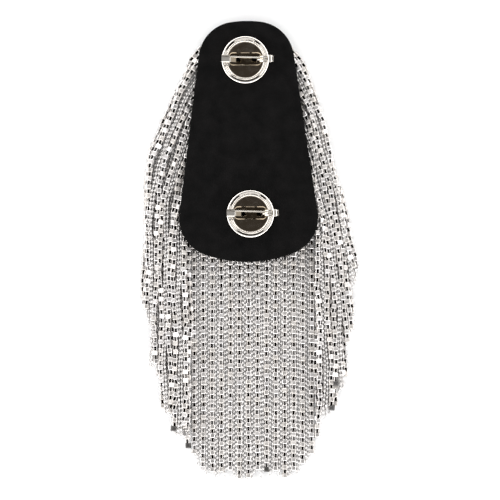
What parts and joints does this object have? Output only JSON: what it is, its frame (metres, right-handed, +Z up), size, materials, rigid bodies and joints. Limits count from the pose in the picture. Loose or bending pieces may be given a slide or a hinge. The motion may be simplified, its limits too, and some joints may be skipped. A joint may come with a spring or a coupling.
{
  "type": "chain fringe epaulette with a pin back",
  "caption": "Fringed epaulette lying on its face: a black felt board with brooch pins on its back and a long fringe of rhinestone cup chain and ball chain.",
  "frame": {"origin": "middle of the whole outline, on the surface that the epaulette lies on", "axes": "+Z up, out of the felt back; +Y along the board towards its narrow neck end; +X to the right, seen from the back"},
  "size_m": [0.1146, 0.2408, 0.0129],
  "materials": {
    "black_felt": "matte pressed felt",
    "rhinestone_chain": "bright silver plated chain set with clear stones",
    "polished_nickel": "polished nickel plate",
    "nickel_strip": "bright nickel plated strip",
    "needle_wire": "polished spring wire"
  },
  "bodies": {
    "epaulette": {"felt_board": "black_felt", "left_fringe": "rhinestone_chain", "right_fringe": "rhinestone_chain", "centre_fringe": "rhinestone_chain", "upper_pin_disc": "polished_nickel", "upper_pin_bar": "nickel_strip", "upper_pin_rivet": "nickel_strip", "lower_pin_disc": "polished_nickel", "lower_pin_bar": "nickel_strip", "lower_pin_rivet": "nickel_strip"},
    "upper_needle": {"upper_pin_needle": "needle_wire"},
    "lower_needle": {"lower_pin_needle": "needle_wire"}
  },
  "joints": [
    {"name": "upper_needle_hinge", "type": "hinge", "parent": "epaulette", "child": "upper_needle", "pos_m": [0.0099, 0.0999, 0.01145], "axis": [0, 1, 0], "range_deg": [0, 85]},
    {"name": "lower_needle_hinge", "type": "hinge", "parent": "epaulette", "child": "lower_needle", "pos_m": [0.0126, 0.0192, 0.01145], "axis": [0, 1, 0], "range_deg": [0, 85]}
  ]
}
